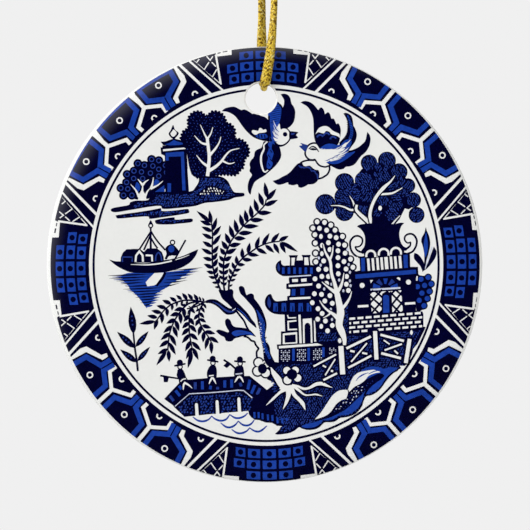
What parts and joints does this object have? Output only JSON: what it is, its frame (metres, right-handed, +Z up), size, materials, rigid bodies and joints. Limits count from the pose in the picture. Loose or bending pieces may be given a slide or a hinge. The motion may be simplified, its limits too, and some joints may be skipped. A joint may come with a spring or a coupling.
{
  "type": "hanging porcelain disc ornament",
  "caption": "Flat round porcelain ornament printed in blue with a willow-style plate scene, hung on a loop of gold cord through a hole near its rim.",
  "frame": {"origin": "the hanging point: inside the top of the cord's loop, just under its knot, straight above the disc's centre", "axes": "+Z up, +X to the right as the printed face is seen, -Y out of the printed face, +Y out of the back"},
  "size_m": [0.073, 0.0068, 0.1103],
  "materials": {
    "porcelain": "white glossy glaze",
    "printed_coat": "glossy white coat with a blue printed scene and border",
    "gold_cord": "braided metallic gold yarn, flattened, with bright and dark flecks"
  },
  "bodies": {
    "hanging_loop": {"hanging_cord": "gold_cord", "cord_knot": "gold_cord", "cord_tails": "gold_cord"},
    "ornament": {"porcelain_disc": "porcelain", "printed_face": "printed_coat"}
  },
  "joints": [
    {"name": "disc_swing", "type": "hinge", "parent": "hanging_loop", "child": "ornament", "pos_m": [-0.0001, 0, -0.0319], "axis": [0, 1, 0], "range_deg": [-60, 60]}
  ]
}
